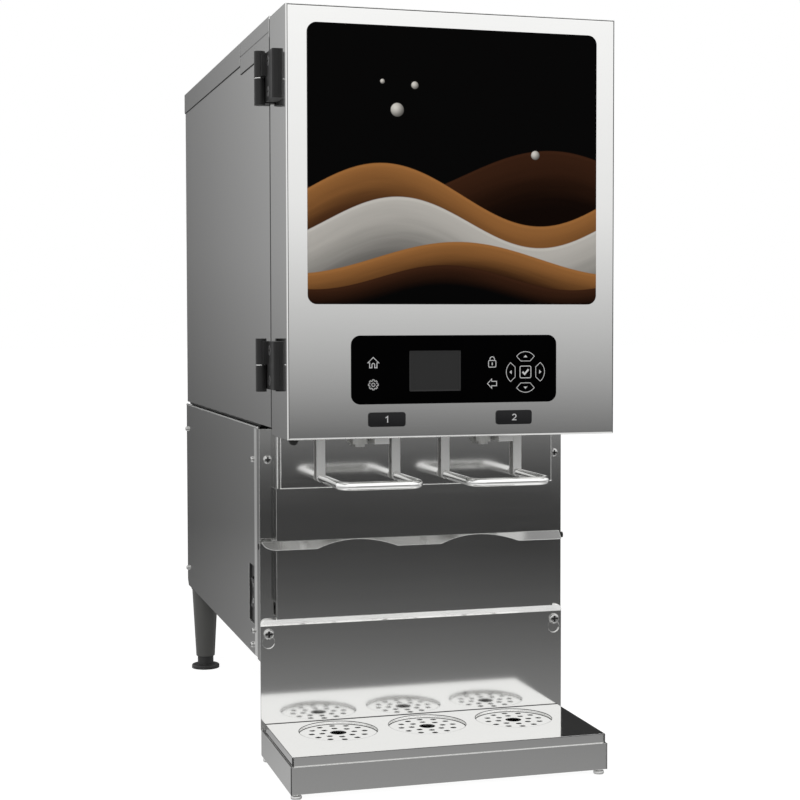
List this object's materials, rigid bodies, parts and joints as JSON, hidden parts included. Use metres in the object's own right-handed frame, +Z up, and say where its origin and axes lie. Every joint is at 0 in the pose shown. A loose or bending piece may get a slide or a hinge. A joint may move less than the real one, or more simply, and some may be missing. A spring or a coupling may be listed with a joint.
{
  "type": "refrigerated milk dispenser",
  "caption": "Tall stainless milk dispenser with a hinged door, keypad, wire lift levers under the nozzles, a cup ledge, splash panel and drip tray on legs.",
  "frame": {"origin": "middle of the footprint of the whole machine, on the surface that it stands on", "axes": "+Z up, -Y out of the door, +X to the right of someone who faces the door"},
  "size_m": [0.3896, 0.734, 0.8405],
  "materials": {
    "steel": "satin",
    "bright_steel": "polished",
    "mirror_steel": "polished",
    "liner": "satin",
    "foam": "matte",
    "fin_metal": "satin",
    "white_plastic": "matte",
    "black_plastic": "matte",
    "black_gloss": "gloss",
    "rubber": "matte",
    "black_paint": "satin",
    "dark_paint": "satin",
    "graphic": "gloss",
    "display": "gloss",
    "board": "satin"
  },
  "bodies": {
    "machine": {"cabinet_wrap": "steel", "cabinet_floor": "steel", "cabinet_insulation": "foam", "inner_liner": "liner", "top_cover": "steel", "top_front_trim": "steel", "evaporator_coil": "fin_metal", "evaporator_cover": "white_plastic", "milk_bin_left": "white_plastic", "milk_bin_right": "white_plastic", "product_tubes": "white_plastic", "valve_body_left": "black_plastic", "valve_body_right": "black_plastic", "nozzles": "white_plastic", "lever_bracket": "bright_steel", "lever_pins": "bright_steel", "lever_switches": "black_plastic", "base_chassis": "steel", "left_side_panel": "steel", "right_side_panel": "steel", "rear_panel": "steel", "lower_front_panel": "steel", "nozzle_panel": "mirror_steel", "cup_ledge": "steel", "ledge_plugs": "rubber", "compressor": "black_paint", "condenser_coil": "black_paint", "fan_shroud": "black_plastic", "switch_frame": "black_plastic", "power_inlet": "black_plastic", "legs": "dark_paint", "panel_screws": "bright_steel", "hinge_frame_leaves": "black_plastic", "hinge_pins": "bright_steel"},
    "door": {"door_shell": "steel", "door_liner": "white_plastic", "door_gasket": "rubber", "graphic_panel": "graphic", "keypad_overlay": "black_gloss", "lcd_module": "display", "control_board": "board", "label_plates": "black_gloss", "hinge_door_leaves": "black_plastic"},
    "lever_left": {"lever_left": "bright_steel"},
    "lever_right": {"lever_right": "bright_steel"},
    "plunger_left": {"plunger_left": "bright_steel"},
    "plunger_right": {"plunger_right": "bright_steel"},
    "evaporator_fan": {"evaporator_fan": "black_plastic"},
    "condenser_fan": {"condenser_fan": "black_plastic"},
    "power_rocker": {"power_rocker": "black_gloss"},
    "foot_front_left": {"foot_front_left": "black_plastic"},
    "foot_front_right": {"foot_front_right": "black_plastic"},
    "foot_rear_left": {"foot_rear_left": "black_plastic"},
    "foot_rear_right": {"foot_rear_right": "black_plastic"},
    "splash_panel": {"splash_panel": "steel"},
    "drip_tray": {"tray_box": "steel", "tray_feet": "steel"},
    "tray_lid": {"tray_lid": "bright_steel"},
    "bin_lid_left": {"bin_lid_left": "white_plastic"},
    "bin_lid_right": {"bin_lid_right": "white_plastic"}
  },
  "joints": [
    {"name": "door_swing", "type": "hinge", "parent": "machine", "child": "door", "pos_m": [-0.1888, -0.2785, 0.611], "axis": [0, 0, -1], "range_deg": [0, 110]},
    {"name": "lever_left_lift", "type": "hinge", "parent": "machine", "child": "lever_left", "pos_m": [-0.0678, -0.234, 0.382], "axis": [-1, 0, 0], "range_deg": [0, 18]},
    {"name": "lever_right_lift", "type": "hinge", "parent": "machine", "child": "lever_right", "pos_m": [0.0802, -0.234, 0.382], "axis": [-1, 0, 0], "range_deg": [0, 18]},
    {"name": "plunger_left_slide", "type": "slide", "parent": "machine", "child": "plunger_left", "axis": [0, 1, 0], "range_m": [0, 0.005], "stiffness_N_per_m": 400, "springref_m": -0.005},
    {"name": "plunger_right_slide", "type": "slide", "parent": "machine", "child": "plunger_right", "axis": [0, 1, 0], "range_m": [0, 0.005], "stiffness_N_per_m": 400, "springref_m": -0.005},
    {"name": "evaporator_fan_spin", "type": "hinge", "parent": "machine", "child": "evaporator_fan", "pos_m": [0.0062, 0.225, 0.699], "axis": [0, 1, 0], "continuous": true},
    {"name": "condenser_fan_spin", "type": "hinge", "parent": "machine", "child": "condenser_fan", "pos_m": [0.0062, 0.225, 0.241], "axis": [0, 1, 0], "continuous": true},
    {"name": "power_rocker_tip", "type": "hinge", "parent": "machine", "child": "power_rocker", "pos_m": [-0.1646, -0.1495, 0.189], "axis": [0, 1, 0], "range_deg": [-7, 7]},
    {"name": "foot_front_left_turn", "type": "hinge", "parent": "machine", "child": "foot_front_left", "pos_m": [-0.1426, -0.1605, 0.02], "axis": [0, 0, 1], "continuous": true},
    {"name": "foot_front_right_turn", "type": "hinge", "parent": "machine", "child": "foot_front_right", "pos_m": [0.155, -0.1605, 0.02], "axis": [0, 0, 1], "continuous": true},
    {"name": "foot_rear_left_turn", "type": "hinge", "parent": "machine", "child": "foot_rear_left", "pos_m": [-0.1561, 0.3325, 0.02], "axis": [0, 0, 1], "continuous": true},
    {"name": "foot_rear_right_turn", "type": "hinge", "parent": "machine", "child": "foot_rear_right", "pos_m": [0.1685, 0.3325, 0.02], "axis": [0, 0, 1], "continuous": true},
    {"name": "splash_lift", "type": "slide", "parent": "machine", "child": "splash_panel", "axis": [0, 0, 1], "range_m": [0, 0.0095]},
    {"name": "tray_slide", "type": "slide", "parent": "machine", "child": "drip_tray", "axis": [0, -1, 0], "range_m": [0, 0.15]},
    {"name": "tray_lid_lift", "type": "slide", "parent": "drip_tray", "child": "tray_lid", "axis": [0, 0, 1], "range_m": [0, 0.06]},
    {"name": "bin_lid_left_lift", "type": "slide", "parent": "machine", "child": "bin_lid_left", "axis": [0, 0, 1], "range_m": [0, 0.05]},
    {"name": "bin_lid_right_lift", "type": "slide", "parent": "machine", "child": "bin_lid_right", "axis": [0, 0, 1], "range_m": [0, 0.05]}
  ]
}
